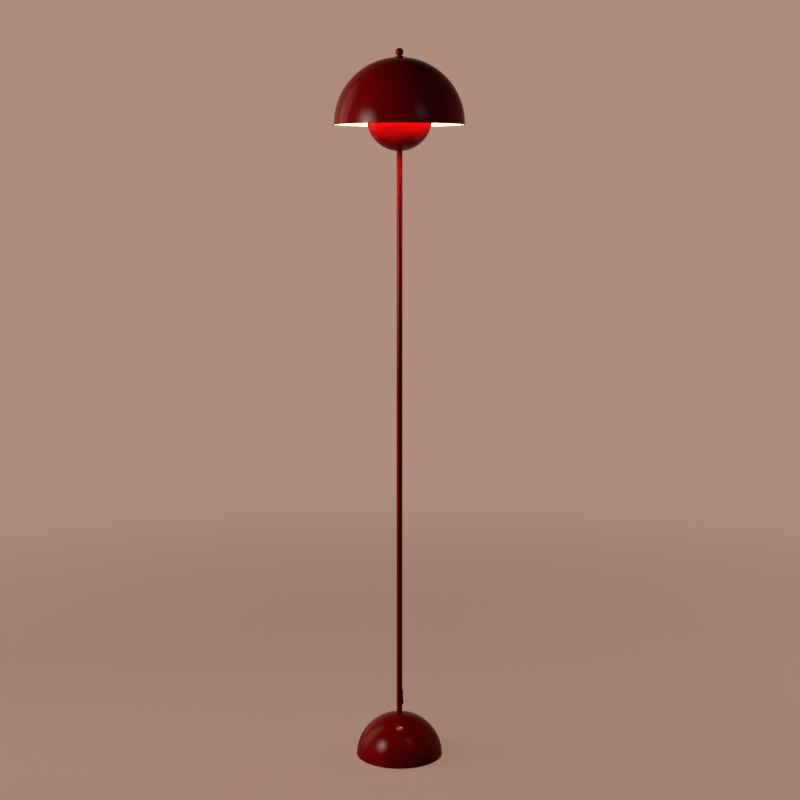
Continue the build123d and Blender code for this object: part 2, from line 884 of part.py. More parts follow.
# ----------------------------------------------------------------------- shade
save(
    spun_shell(
        shade_radius,
        shade_wall,
        shade_centre,
        shade_rim,
        shade_flat_radius,
        shade_hole_radius,
        1,
    ),
    "shade",
)

# Ball nut on a short collar, bored blind from below.
ball_nut_centre = overall_height - finial_ball_diameter / 2
with BuildPart() as finial:
    with Locations((0, 0, ball_nut_centre)):
        Sphere(finial_ball_diameter / 2)
    with BuildSketch(Plane.XY.offset(shade_top)):
        Circle(finial_collar_diameter / 2)
    extrude(amount=finial_collar_height)
    with BuildSketch(Plane.XY.offset(shade_top)):
        Circle(stud_radius + thread_gap)
    extrude(amount=finial_bore_depth, mode=Mode.SUBTRACT)
save(finial.part, "finial")

print(f"shade rim {shade_rim:.2f}, bowl rim {bowl_centre:.2f}, bowl bottom {bowl_bottom:.2f}")
print(f"lampholder {holder_bottom:.2f} to {holder_top:.2f}, bulb to {bulb_top:.2f}")
print(f"harp {harp_bottom:.2f} to {harp_top:.2f}, base dome crown {dome_top:.2f}")
print(f"rocker's pin at {pin_centre.X:.4f}, {pin_centre.Y:.4f}, {pin_centre.Z:.4f}")
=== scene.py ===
# %% [markdown]
# # A mushroom floor lamp
#
# A dome shade covers the upper half of a small bowl, a slim stem carries both, and a weighted dome
# stands on the floor. All of it is deep red gloss lacquer, the inside of the shade and bowl is
# white, and the lamp is lit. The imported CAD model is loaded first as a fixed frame, in metres, and
# every new piece is placed by it, so nothing has to be fitted by eye.

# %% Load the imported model
import json
from math import acos, atan2, cos, pi, radians, sin, sqrt, tan

import bpy
from mathutils import Matrix, Vector


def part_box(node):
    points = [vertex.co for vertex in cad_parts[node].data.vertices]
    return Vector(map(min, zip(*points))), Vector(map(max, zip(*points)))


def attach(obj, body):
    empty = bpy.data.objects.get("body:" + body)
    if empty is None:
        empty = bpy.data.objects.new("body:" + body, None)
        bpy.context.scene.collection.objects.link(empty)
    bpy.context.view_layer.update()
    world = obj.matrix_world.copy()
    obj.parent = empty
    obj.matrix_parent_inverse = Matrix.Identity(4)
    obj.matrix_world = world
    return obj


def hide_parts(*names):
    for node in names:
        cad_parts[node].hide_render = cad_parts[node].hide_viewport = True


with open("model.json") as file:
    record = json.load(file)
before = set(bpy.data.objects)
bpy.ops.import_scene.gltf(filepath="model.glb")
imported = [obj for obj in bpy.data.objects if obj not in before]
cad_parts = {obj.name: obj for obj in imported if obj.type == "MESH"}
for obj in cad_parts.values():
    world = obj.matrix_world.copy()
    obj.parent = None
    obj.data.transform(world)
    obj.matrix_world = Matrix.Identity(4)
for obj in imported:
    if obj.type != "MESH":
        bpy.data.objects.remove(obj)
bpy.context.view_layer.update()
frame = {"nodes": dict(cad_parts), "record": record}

bpy.ops.object.select_all(action="DESELECT")

# %% [markdown]
# ## Camera
#
# The photograph was taken from almost three metres away, a little below the shade's height, and
# the camera looks down by eight degrees. Those numbers come from fitting a pinhole camera to the
# outlines of the shade, bowl, stem and base. A camera is pointed by turning it from straight down,
# so a pitch of eight degrees below the horizon is 82 degrees of turn about X.

# %% Camera
photo_width = 800
sensor_width = 36.0
focal_length_pixels = 1604.5
camera_place = (0.0009, -2.8561, 1.0643)
camera_pitch = radians(8.0)
bpy.ops.object.camera_add(location=camera_place, rotation=(pi / 2 - camera_pitch, 0, 0))
camera = bpy.context.object
camera.name = "photo_camera"
camera.data.sensor_width = sensor_width
camera.data.lens = sensor_width * focal_length_pixels / photo_width
bpy.context.scene.camera = camera
print(f"lens {camera.data.lens:.1f} mm")

# %% [markdown]
# ## Shader sums as Python
#
# A procedural material is a sum of patterns. Written node by node it takes pages, so one small
# class wraps a socket: adding, multiplying or subtracting wraps adds the Math nodes. Every other
# node comes from one method, which takes the node's type, its settings and what its sockets get.


# %% A wrapped socket
class Wire:
    """An output socket in a node tree, on which sums can be written as Python."""

    def __init__(self, tree, socket=None):
        self.tree = tree
        self.socket = socket

    def add(self, kind, settings=None, sockets=None, output=0):
        """Add any node: its settings are set first, then its sockets get values or links."""
        node = self.tree.nodes.new(kind)
        for name, value in (settings or {}).items():
            setattr(node, name, value)
        for name, value in (sockets or {}).items():
            if isinstance(value, Wire):
                self.tree.links.new(value.socket, node.inputs[name])
            else:
                node.inputs[name].default_value = value
        return Wire(self.tree, node.outputs[output] if node.outputs else None)

    def maths(self, operation, *terms):
        return self.add("ShaderNodeMath", {"operation": operation}, dict(enumerate(terms)))

    def __add__(self, other):
        return self.maths("ADD", self, other)

    def __sub__(self, other):
        return self.maths("SUBTRACT", self, other)

    def __rsub__(self, other):
        return self.maths("SUBTRACT", other, self)

    def __mul__(self, other):
        return self.maths("MULTIPLY", self, other)

    def __pow__(self, other):
        return self.maths("POWER", self, other)

    __radd__ = __add__
    __rmul__ = __mul__

    def step(self, low, high):
        """A soft mask: 0 where this is below low, 1 where it is above high."""
        return self.add(
            "ShaderNodeMapRange",
            {"interpolation_type": "SMOOTHSTEP"},
            {"Value": self, "From Min": low, "From Max": high},
        )

    def blend(self, colour, other):
        """Colour where this mask is 0, the other colour where it is 1."""
        return self.add(
            "ShaderNodeMix",
            {"data_type": "RGBA"},
            {0: self, 6: opaque(colour), 7: opaque(other)},
            output=2,
        )


def opaque(colour):
    """A plain colour gets its alpha; a wire stays as it is."""
    return colour if isinstance(colour, Wire) else (*colour, 1.0)


# %% [markdown]
# ## Patterns
#
# Patterns read Object coordinates. Each finished piece sits at the origin with its place in its
# mesh, so those are metres in the lamp's own frame: a noise scale of 400 makes marks of about
# 2.5 mm on any piece. A Mapping node stretches a pattern, for brushed and spun surfaces.


# %% Pattern helpers
class Finish:
    """A material under construction: its patterns, and its one Principled shader."""

    def __init__(self, name, **constants):
        self.material = bpy.data.materials.new(name)
        self.material.use_nodes = True
        tree = self.material.node_tree
        self.shader = tree.nodes["Principled BSDF"]
        self.wire = Wire(tree)
        self.place = self.wire.add("ShaderNodeTexCoord", output=3)
        for socket, value in constants.items():
            self.set(socket.replace("_", " "), value)
        print("finish:", name)

    def set(self, socket, value):
        """A constant is set on the shader's socket; a pattern is linked to it."""
        if isinstance(value, Wire):
            self.shader.id_data.links.new(value.socket, self.shader.inputs[socket])
        else:
            self.shader.inputs[socket].default_value = value

    def stretched(self, scale):
        return self.wire.add("ShaderNodeMapping", sockets={"Vector": self.place, "Scale": scale})

    def noise(self, scale, detail=2.0, roughness=0.5, at=None):
        return self.wire.add(
            "ShaderNodeTexNoise",
            sockets={
                "Vector": at or self.place,
                "Scale": scale,
                "Detail": detail,
                "Roughness": roughness,
            },
        )

    def cells(self, scale, feature="F1"):
        return self.wire.add(
            "ShaderNodeTexVoronoi",
            {"feature": feature},
            {"Vector": self.place, "Scale": scale},
        )

    def axis(self, number):
        """X, Y or Z of the point being shaded, as a wire."""
        return self.wire.add("ShaderNodeSeparateXYZ", sockets={0: self.place}, output=number)

    def bump(self, height, depth):
        """Height from 0 to 1 raised by depth in metres, through the Normal socket."""
        relief = self.wire.add(
            "ShaderNodeBump", sockets={"Strength": 1.0, "Distance": depth, "Height": height}
        )
        self.set("Normal", relief)


# %% [markdown]
# ## Red gloss lacquer
#
# The shade, bowl, stem and base are sprayed steel. Gloss lacquer is a coloured layer under one
# smooth clear surface, so a plain dielectric with low roughness does it. What makes it look like
# paint and not like glass is orange peel: shallow waves a few millimetres long that make
# reflections swim. The film is also a little thicker in places, which deepens the red in soft
# clouds, and close to the floor it picks up dull rubs and dust.

# %% Red gloss lacquer
red = Finish("red_lacquer", IOR=1.5)
clouds = red.noise(17.0, 3.0)
peel = red.noise(260.0, 1.5) + 0.4 * red.noise(900.0, 1.0)
rubs = red.noise(240.0, 4.0, 0.7).step(0.60, 0.72)
low_down = 1 - red.axis(2).step(0.004, 0.022)
dust = red.noise(1500.0, 2.0, 0.6).step(0.66, 0.78)
deep_red = clouds.step(0.3, 0.7).blend((0.325, 0.0012, 0.0026), (0.375, 0.0020, 0.0036))
red.set("Base Color", (0.5 * low_down * rubs + 0.03 * dust).blend(deep_red, (0.38, 0.06, 0.05)))
red.set("Roughness", 0.07 + 0.06 * red.noise(60.0, 3.0) + 0.22 * low_down * rubs + 0.12 * dust)
red.bump(peel, 0.000005)

# %% [markdown]
# ## White satin lacquer
#
# The inside of the shade and bowl is white so that it throws the light out. It is sprayed too, but
# satin, so it is rougher and its peel is coarser. Above the bulb the heat has turned the lacquer
# faintly cream, most of all round the crown.

# %% White satin lacquer
white = Finish("white_lacquer", IOR=1.5)
across = (white.axis(0) ** 2.0 + white.axis(1) ** 2.0) ** 0.5
warmed = white.axis(2).step(1.20, 1.28) * (1 - across.step(0.01, 0.075))
patches = white.noise(26.0, 3.0)
clean_white = patches.step(0.25, 0.75).blend((0.83, 0.81, 0.77), (0.87, 0.855, 0.82))
creamed = 0.55 * warmed + 0.2 * warmed * patches
white.set("Base Color", creamed.blend(clean_white, (0.80, 0.70, 0.53)))
white.set("Roughness", 0.36 + 0.12 * white.noise(90.0, 3.0))
white.bump(white.noise(420.0, 2.0), 0.00002)

# %% [markdown]
# ## Metals
#
# Zinc plate, brass and rolled aluminium are told apart by colour and by what has marked them.
# Zinc has a bluish bloom, brass darkens where hands and heat reach it, and both carry fine turning
# marks. Noise squeezed to a few thousandths of its height gives those marks as thin rings.


# %% Metals
def metal(name, bright, dull, rough, ring_scale=2500.0):
    """A turned metal: bloom between two colours, and fine rings of tool marks."""
    finish = Finish(name, Metallic=1.0)
    bloom = finish.noise(120.0, 4.0, 0.6).step(0.35, 0.7)
    rings = finish.noise(1.0, 3.0, 0.65, at=finish.stretched((40.0, 40.0, ring_scale)))
    specks = finish.noise(1800.0, 2.0).step(0.62, 0.75)
    finish.set("Base Color", (0.7 * bloom + 0.3 * specks).blend(bright, dull))
    finish.set("Roughness", rough + 0.16 * bloom + 0.1 * rings)
    finish.bump(rings + 0.4 * specks, 0.00001)
    return finish


zinc = metal("zinc_steel", (0.62, 0.63, 0.64), (0.43, 0.44, 0.46), 0.27)
brass = metal("brass", (0.80, 0.58, 0.26), (0.46, 0.31, 0.14), 0.22)
cap_metal = metal("cap_metal", (0.80, 0.80, 0.80), (0.60, 0.60, 0.61), 0.24, 5000.0)

# %% [markdown]
# ## Iron, powder coat and rubber
#
# The casting is raw: a grainy grey skin. The base plate wears a black powder coat, whose surface
# is a field of soft dimples. The pad is foam rubber with open pores, and the inlet bush is moulded
# rubber, smoother, with a pale bloom.

# %% Iron, powder coat and rubber
iron = Finish("grey_iron", Metallic=0.35)
grains = iron.noise(520.0, 4.0, 0.7)
iron.set("Base Color", grains.step(0.3, 0.7).blend((0.075, 0.074, 0.074), (0.16, 0.155, 0.15)))
iron.set("Roughness", 0.62 + 0.25 * grains)
iron.bump(grains, 0.00025)

powder = Finish("black_steel")
dimples = powder.cells(1400.0, "SMOOTH_F1")
thick_coat = powder.noise(35.0, 3.0)
powder.set("Base Color", thick_coat.blend((0.018, 0.018, 0.019), (0.034, 0.034, 0.035)))
powder.set("Roughness", 0.42 + 0.18 * dimples)
powder.bump(dimples, 0.00006)

foam = Finish("pad_rubber")
pores = foam.cells(2200.0).step(0.1, 0.55)
foam.set("Base Color", pores.blend((0.012, 0.012, 0.013), (0.05, 0.049, 0.048)))
foam.set("Roughness", 0.86 + 0.1 * foam.noise(200.0))
foam.bump(pores, 0.00018)

rubber = Finish("bush_rubber")
bloomed = rubber.noise(160.0, 4.0, 0.6).step(0.45, 0.8)
rubber.set("Base Color", bloomed.blend((0.017, 0.016, 0.016), (0.05, 0.048, 0.046)))
rubber.set("Roughness", 0.52 + 0.25 * bloomed)
rubber.bump(rubber.noise(1600.0, 2.0), 0.00003)

# %% [markdown]
# ## Plastics, ceramic and the lead
#
# The switch is dark gloss plastic, the lampholder white thermoplastic with the fine grain that a
# spark-eroded mould leaves, a little yellowed near the bulb. The holder's core is unglazed ceramic
# with darker specks. The lead's sheath is soft white plastic.

# %% Plastics, ceramic and the lead
black_plastic = Finish("black_plastic", IOR=1.45, Specular_IOR_Level=0.2)
handled = black_plastic.noise(420.0, 3.0, 0.6).step(0.5, 0.75)
black_plastic.set("Base Color", handled.blend((0.014, 0.004, 0.004), (0.024, 0.011, 0.010)))
black_plastic.set("Roughness", 0.42 + 0.2 * handled)
black_plastic.bump(black_plastic.noise(2600.0, 1.0), 0.00001)

white_plastic = Finish("white_plastic", IOR=1.49)
mould_grain = white_plastic.noise(2400.0, 2.0)
aged = white_plastic.axis(2).step(1.13, 1.165) * white_plastic.noise(70.0, 3.0).step(0.2, 0.8)
white_plastic.set("Base Color", (0.6 * aged).blend((0.81, 0.80, 0.76), (0.74, 0.67, 0.52)))
white_plastic.set("Roughness", 0.34 + 0.14 * mould_grain)
white_plastic.bump(mould_grain, 0.00002)

ceramic = Finish("ceramic")
specked = ceramic.noise(900.0, 3.0, 0.7).step(0.62, 0.7)
ceramic.set("Base Color", (0.6 * specked).blend((0.84, 0.81, 0.75), (0.55, 0.47, 0.36)))
ceramic.set("Roughness", 0.6 + 0.2 * ceramic.noise(300.0))
ceramic.bump(ceramic.noise(1300.0, 3.0), 0.00004)

sheath = Finish("lead_sheath")
soiled = sheath.noise(150.0, 3.0)
sheath.set("Base Color", soiled.step(0.4, 0.8).blend((0.80, 0.79, 0.76), (0.68, 0.66, 0.61)))
sheath.set("Roughness", 0.44 + 0.15 * soiled)
sheath.bump(sheath.noise(1100.0, 1.0), 0.00003)

# %% [markdown]
# ## Lit glass
#
# The bulb is frosted inside, so its light seems to come from the whole glass: brightest round the
# middle of the ball and weaker towards the neck. The glass gives off that light itself, with a
# strength far above white, and the white lacquer spreads it.

# %% Lit glass
glow_strength = 74.0
glass = Finish("frosted_glass", IOR=1.45, Emission_Strength=glow_strength)
frost = glass.noise(900.0, 3.0)
up_the_glass = glass.axis(2).step(1.167, 1.214)
glass.set("Base Color", frost.blend((0.86, 0.84, 0.80), (0.92, 0.90, 0.87)))
glass.set("Emission Color", up_the_glass.blend((0.95, 0.43, 0.20), (1.0, 0.48, 0.24)))
glass.set("Roughness", 0.4 + 0.15 * frost)
glass.bump(frost, 0.00001)

# %% [markdown]
# ## Turning
#
# Spun and turned parts are bodies of revolution, and a spin round the lamp's axis makes them as a
# lathe would. The outline starts as one point, which is pulled along from corner to corner by
# extruding it, and is then spun. Corners that the real tool leaves round are rounded in the
# outline, and the small edge breaks come from a Bevel modifier afterwards.

# %% Draw an outline and turn it
mm = 0.001
same_point = 2e-6  # points nearer than this, in metres, are merged


def select_points(test):
    """In edit mode, select the vertices that pass the test and nothing else."""
    bpy.ops.mesh.select_all(action="DESELECT")
    bpy.ops.mesh.select_mode(type="VERT")
    bpy.ops.object.mode_set(mode="OBJECT")
    for vertex in bpy.context.object.data.vertices:
        vertex.select = test(vertex.co)
    bpy.ops.object.mode_set(mode="EDIT")


def draw(name, corners):
    """Pull one point along the corners, and stay in edit mode."""
    bpy.ops.object.select_all(action="DESELECT")
    bpy.ops.mesh.primitive_circle_add(vertices=3, radius=mm, location=corners[0])
    piece = bpy.context.object
    piece.name = piece.data.name = name
    bpy.ops.object.transform_apply(location=True, rotation=True, scale=True)
    bpy.ops.object.mode_set(mode="EDIT")
    bpy.ops.mesh.select_all(action="SELECT")
    bpy.ops.mesh.merge(type="CENTER")
    for start, end in zip(corners, corners[1:]):
        move = {"value": Vector(end) - Vector(start)}
        bpy.ops.mesh.extrude_vertices_move(TRANSFORM_OT_translate=move)
    return piece


def close_up():
    """Merge what meets, point the faces outwards, and leave edit mode."""
    bpy.ops.mesh.select_all(action="SELECT")
    bpy.ops.mesh.remove_doubles(threshold=same_point)
    bpy.ops.mesh.normals_make_consistent(inside=False)
    bpy.ops.object.mode_set(mode="OBJECT")


def turned(name, outline, steps=96):
    """Spin an outline of (radius, height) in millimetres round the lamp's axis."""
    piece = draw(name, [(r * mm, 0, z * mm) for r, z in outline])
    bpy.ops.mesh.select_all(action="SELECT")
    bpy.ops.mesh.spin(steps=steps, angle=2 * pi, center=(0, 0, 0), axis=(0, 0, 1))
    close_up()
    return piece


def arc(centre_height, radius, start, end, steps, centre_radius=0.0):
    """Outline points on a circle, its angles measured in degrees up from the horizontal."""
    turn = [radians(start + (end - start) * i / steps) for i in range(steps + 1)]
    return [(centre_radius + radius * cos(t), centre_height + radius * sin(t)) for t in turn]


def rounded(corners, radii, steps=6):
    """An outline whose inner corners are replaced by arcs, or kept where the radius is 0."""
    points = [Vector(corner) for corner in corners]
    outline = [tuple(points[0])]
    for before, corner, after, radius in zip(points, points[1:], points[2:], radii):
        if not radius:
            outline.append(tuple(corner))
            continue
        back, on = (before - corner).normalized(), (after - corner).normalized()
        half = back.angle(on) / 2
        centre = corner + (back + on).normalized() * radius / sin(half)
        first = corner + back * radius / tan(half) - centre
        last = corner + on * radius / tan(half) - centre
        swing = atan2(first.x * last.y - first.y * last.x, first.dot(last))
        for i in range(steps + 1):
            outline.append(tuple(centre + Matrix.Rotation(swing * i / steps, 2) @ first))
    return outline + [tuple(points[-1])]


# %% Edges, cuts and fitting
smooth_below = radians(32)  # sharper edges than this stay sharp


def apply(piece, kind, **settings):
    """Add a modifier, set it and apply it."""
    bpy.context.view_layer.objects.active = piece
    modifier = piece.modifiers.new(kind.lower(), kind)
    for name, value in settings.items():
        setattr(modifier, name, value)
    bpy.ops.object.modifier_apply(modifier=modifier.name)


def break_edges(piece, width, segments=2, angle=35.0):
    """Round every edge sharper than the angle, by a width in millimetres."""
    apply(
        piece, "BEVEL", width=width * mm, segments=segments,
        limit_method="ANGLE", angle_limit=radians(angle), harden_normals=False,
    )


def cut_away(piece, cutter):
    """Take the cutter's shape out of the piece, and remove the cutter."""
    apply(piece, "BOOLEAN", operation="DIFFERENCE", solver="EXACT", object=cutter)
    bpy.data.objects.remove(cutter)


def join_on(piece, other):
    """Unite two closed pieces into one skin."""
    apply(piece, "BOOLEAN", operation="UNION", solver="EXACT", object=other)
    bpy.data.objects.remove(other)


def fit(piece, body, slot, *finishes, replaces):
    """Smooth the piece, dress it, and let it ride on its body in place of CAD nodes."""
    bpy.ops.object.select_all(action="DESELECT")
    piece.select_set(True)
    bpy.context.view_layer.objects.active = piece
    bpy.ops.object.shade_smooth_by_angle(angle=smooth_below)
    piece.data.materials.clear()
    for finish in finishes:
        piece.data.materials.append(finish.material)
    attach(piece, body)
    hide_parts(*replaces)
    piece.data.calc_loop_triangles()
    print(f"{piece.name}: {len(piece.data.loop_triangles)} triangles on {body}")


# %% [markdown]
# ## Shade
#
# The real shade is a disc of steel spun over a former: a half sphere with a short straight lip,
# a small flat on its crown and a hole for the stud. Its section is one closed outline, outside up
# and inside down, so the wall has its true thickness of a millimetre and the rim a real edge. The
# faces inside the middle of the wall get the white lacquer, and the rim stays red.

# %% Shade
shade_low, shade_high = (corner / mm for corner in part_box("shade"))
shade_radius = shade_high.x
shade_wall = 1.0
shade_lip = 1.8
lining_depth = 0.62  # of the wall: faces further in than this are white
crown_radius = 7.0
stud_hole_radius = 3.3
shade_centre = shade_low.z + shade_lip


def dome_outline(radius, wall, centre, start, crown, hole, steps, lip=0.0):
    """Closed section of a spun dome: up its outside, across its crown and down its inside."""
    inner = radius - wall
    outside = arc(centre, radius, start, acos(crown / radius) / radians(1), steps)
    inside = arc(centre, inner, acos(crown / inner) / radians(1), start * radius / inner, steps)
    foot = [(radius, centre - lip)] if lip else []
    lip_end = [(inner, centre - lip)] if lip else []
    crown_edge = [(hole, outside[-1][1]), (hole, inside[0][1])]
    return foot + outside + crown_edge + inside + lip_end + [(foot or outside)[0]]


def line_inside(piece, radius, centre):
    """Give the second material to the faces that lie inside this sphere."""
    middle = Vector((0, 0, centre * mm))
    for face in piece.data.polygons:
        if (face.center - middle).length < radius * mm:
            face.material_index = 1


shade = turned(
    "shade_spun",
    dome_outline(
        shade_radius, shade_wall, shade_centre, 0.0, crown_radius, stud_hole_radius, 56, shade_lip
    ),
    steps=192,
)
break_edges(shade, 0.3, 3)
fit(shade, "shade", "red_lacquer", red, white, replaces=["shade"])
line_inside(shade, shade_radius - lining_depth * shade_wall, shade_centre)

# %% [markdown]
# ## Bowl
#
# The bowl is the same job at half the size, turned upwards, so its outline runs down from the rim.
# It also is white inside, which is why the bulb's light comes back out of it.

# %% Bowl
bowl_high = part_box("bowl")[1] / mm
bowl_radius = bowl_high.x
bowl_wall = 1.0
bowl_flat = 8.0
nipple_hole_radius = 4.2
upside_down = dome_outline(bowl_radius, bowl_wall, 0.0, 0.0, bowl_flat, nipple_hole_radius, 40)
bowl = turned("bowl_spun", [(r, bowl_high.z - z) for r, z in upside_down], steps=144)
break_edges(bowl, 0.3, 3)
fit(bowl, "stand", "red_lacquer", red, white, replaces=["bowl"])
line_inside(bowl, bowl_radius - lining_depth * bowl_wall, bowl_high.z)

# %% [markdown]
# ## Base dome
#
# The base is a heavier spinning. Its rim stops just above the floor and leaves a thin dark line
# under it, because it stands on a narrower pad. A hole at the back takes the inlet bush.

# %% Base dome
dome_low, dome_high = (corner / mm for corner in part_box("base_dome"))
dome_wall = 1.5
dome_flat = 8.0
dome_crown = 79.0
rim_to_crown = dome_crown - dome_low.z
dome_radius = (dome_high.x**2 + rim_to_crown**2) / (2 * rim_to_crown)
dome_centre = dome_crown - dome_radius
rim_angle = acos(dome_high.x / dome_radius) / radians(1)
base_dome = turned(
    "base_dome_spun",
    dome_outline(
        dome_radius, dome_wall, dome_centre, rim_angle, dome_flat, nipple_hole_radius, 44
    ),
    steps=160,
)
break_edges(base_dome, 0.4, 3)
bush_low, bush_high = (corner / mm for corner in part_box("cord_bush"))
inlet_height = (bush_low.z + bush_high.z) / 2
bush_neck_radius = 4.85
bpy.ops.mesh.primitive_cylinder_add(
    vertices=48,
    radius=bush_neck_radius * mm,
    depth=20 * mm,
    location=(0, dome_high.x * mm, inlet_height * mm),
    rotation=(pi / 2, 0, 0),
)
cut_away(base_dome, bpy.context.object)
fit(base_dome, "stand", "red_lacquer", red, replaces=["base_dome"])

# %% [markdown]
# ## Ball nut
#
# A ball turned in one piece with a thin collar holds the shade down. The outline starts at the top
# of the ball, runs down to the collar with a small fillet where they meet, and ends in the blind
# bore for the stud, whose end is the cone that a drill leaves.

# %% Ball nut
finial_low, finial_high = (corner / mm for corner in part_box("finial"))
ball_radius = 7.0
ball_middle = finial_high.z - ball_radius
collar_radius = finial_high.x
collar_top = finial_low.z + 2.6
ball_foot = 3.6
bore_radius = 3.05
bore_top = finial_low.z + 11.8
foot_angle = -acos(ball_foot / ball_radius) / radians(1)
collar = rounded(
    [
        (ball_foot, ball_middle + ball_radius * sin(radians(foot_angle))),
        (ball_foot, collar_top - 0.1),
        (collar_radius, collar_top - 0.4),
        (collar_radius, finial_low.z),
        (bore_radius, finial_low.z),
        (bore_radius, bore_top),
        (0, bore_top + 1.2),
    ],
    [0.4, 0.5, 0.3, 0.2, 0],
    steps=4,
)
ball_nut = turned(
    "ball_nut_turned", arc(ball_middle, ball_radius, 90, foot_angle, 26)[:-1] + collar, steps=64
)
fit(ball_nut, "finial", "red_lacquer", red, replaces=["finial"])

# %% [markdown]
# ## Stem
#
# The stem is plain drawn tube. Turning a closed section gives it a real bore and wall, and the slot
# for the switch is cut with a box that faces the way the switch does, right of straight back.

# %% Stem
stem_low, stem_high = (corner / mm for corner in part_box("stem_tube"))
stem_radius = stem_high.x
stem_wall = 1.2
stem_bore = stem_radius - stem_wall
slot_width, slot_length = 5.7, 28.7
switch_turn = radians(38.0)
switch_low, switch_high = (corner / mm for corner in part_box("switch_housing"))
switch_height = (switch_low.z + switch_high.z) / 2
bezel_length = switch_high.z - switch_low.z
towards_switch = Matrix.Rotation(-switch_turn, 4, "Z")


def block(name, size, place):
    """A box of this size in millimetres, in the switch's own directions, with Y outwards."""
    bpy.ops.object.select_all(action="DESELECT")
    bpy.ops.mesh.primitive_cube_add(size=1, location=[c * mm for c in place])
    piece = bpy.context.object
    piece.name = piece.data.name = name
    piece.scale = [s * mm for s in size]
    bpy.ops.object.transform_apply(location=True, rotation=True, scale=True)
    return piece


def swing_to_switch(piece):
    """Turn a piece made facing straight back to face the way the switch does."""
    piece.data.transform(towards_switch)
    return piece


stem = turned(
    "stem_drawn",
    [
        (stem_bore, stem_low.z),
        (stem_radius, stem_low.z),
        (stem_radius, stem_high.z),
        (stem_bore, stem_high.z),
        (stem_bore, stem_low.z),
    ],
    steps=64,
)
break_edges(stem, 0.25)
slot_box = block(
    "slot_cutter", (slot_width, stem_radius, slot_length), (0, stem_radius, switch_height)
)
cut_away(stem, swing_to_switch(slot_box))
fit(stem, "stand", "red_lacquer", red, replaces=["stem_tube"])

# %% [markdown]
# ## Switch
#
# A small rocker switch is let into the tube just above the base. Its frame is a rounded bar
# saddled on the tube, so it is made as a block whose corners are bevelled nearly to half circles,
# and the tube's own round is cut out of it. The bevels stop short of the middle: where they all but
# met, the Boolean for the pocket left an empty mesh. The pocket for the rocker is cut last.

# %% Switch frame
bezel_width = 7.4
bezel_rise = 1.3
bezel_top = stem_radius + bezel_rise
corner_round = 0.47 * bezel_width
switch_body_width, switch_body_length = 5.6, 28.6
pocket_width, pocket_length = 4.2, 27.4
pocket_floor, pocket_depth = 0.7, 10.0
bezel = block(
    "switch_bezel_moulded",
    (bezel_width, bezel_top, bezel_length),
    (0, bezel_top / 2, switch_height),
)
bpy.ops.object.mode_set(mode="EDIT")
select_points(lambda point: True)
bpy.ops.mesh.select_mode(type="EDGE")
bpy.ops.object.mode_set(mode="OBJECT")
for edge in bezel.data.edges:
    start, end = (bezel.data.vertices[v].co for v in edge.vertices)
    edge.select = abs(start.y - end.y) > mm
for face in bezel.data.polygons:
    face.select = False
bpy.ops.object.mode_set(mode="EDIT")
bpy.ops.mesh.bevel(offset=corner_round * mm, segments=10, affect="EDGES")
select_points(lambda point: point.y > (bezel_top - 0.01) * mm)
bpy.ops.mesh.bevel(offset=0.6 * mm, segments=4, affect="EDGES")
close_up()


def post(radius, low, high, vertices=64):
    """A round cutter on the lamp's axis, in millimetres."""
    bpy.ops.object.select_all(action="DESELECT")
    bpy.ops.mesh.primitive_cylinder_add(
        vertices=vertices, radius=radius * mm, depth=(high - low) * mm,
        location=(0, 0, (low + high) / 2 * mm),
    )
    bpy.ops.object.transform_apply(location=True, rotation=True, scale=True)
    return bpy.context.object


cut_away(bezel, post(stem_radius, switch_height - 30, switch_height + 30))
body_floor, body_top = stem_radius - 4.7, stem_radius + 0.7
switch_body = block(
    "switch_body",
    (switch_body_width, body_top - body_floor, switch_body_length),
    (0, (body_floor + body_top) / 2, switch_height),
)
break_edges(switch_body, 0.3)
join_on(bezel, switch_body)
pocket = block(
    "pocket_cutter",
    (pocket_width, pocket_depth, pocket_length),
    (0, body_floor + pocket_floor + pocket_depth / 2, switch_height),
)
cut_away(bezel, pocket)
break_edges(bezel, 0.12, 2, 50)
fit(
    swing_to_switch(bezel), "stand", "black_plastic", black_plastic, replaces=["switch_housing"]
)

# %% [markdown]
# ## Rocker
#
# Seen from the side the rocker is a shallow V over a heel that works the contact. Its side view is
# drawn, filled and extruded across. Each end has three low ribs for the fingertip. At rest it is
# tipped to its lit position, upper end in.

# %% Rocker
pin_reach = stem_radius - 0.3
tilt = radians(7.0)
end_height, middle_height, half_length = 3.9, 2.4, 13.2
rocker_width = 3.8
belly_depth, heel_depth = 1.0, 2.8
ribs = [7.8, 9.2, 10.6]
rib_rise = 0.28


def rocker_top(along):
    return middle_height + (end_height - middle_height) * abs(along) / half_length


upper_half = [(0.0, middle_height)]
for rib in ribs:
    upper_half += [
        (rib - 0.5, rocker_top(rib - 0.5)),
        (rib - 0.2, rocker_top(rib) + rib_rise),
        (rib + 0.2, rocker_top(rib) + rib_rise),
        (rib + 0.5, rocker_top(rib + 0.5)),
    ]
upper_half += [
    (half_length, end_height),
    (half_length, 0.0),
    (11.5, -belly_depth),
    (1.5, -belly_depth),
    (0.75, -heel_depth),
]
side_view = upper_half + [(-along, out) for along, out in reversed(upper_half[1:])]
side_view.append(side_view[0])
pin = Vector((0, pin_reach, switch_height))
along_axis, out_axis = Vector((0, -sin(tilt), cos(tilt))), Vector((0, cos(tilt), sin(tilt)))
rocker = draw(
    "switch_rocker_moulded",
    [
        (pin + along_axis * along + out_axis * out - Vector((rocker_width / 2, 0, 0))) * mm
        for along, out in side_view
    ],
)
bpy.ops.mesh.select_all(action="SELECT")
bpy.ops.mesh.remove_doubles(threshold=same_point)
bpy.ops.mesh.edge_face_add()
bpy.ops.mesh.extrude_region_move(TRANSFORM_OT_translate={"value": (rocker_width * mm, 0, 0)})
close_up()
break_edges(rocker, 0.16, 2, 25)
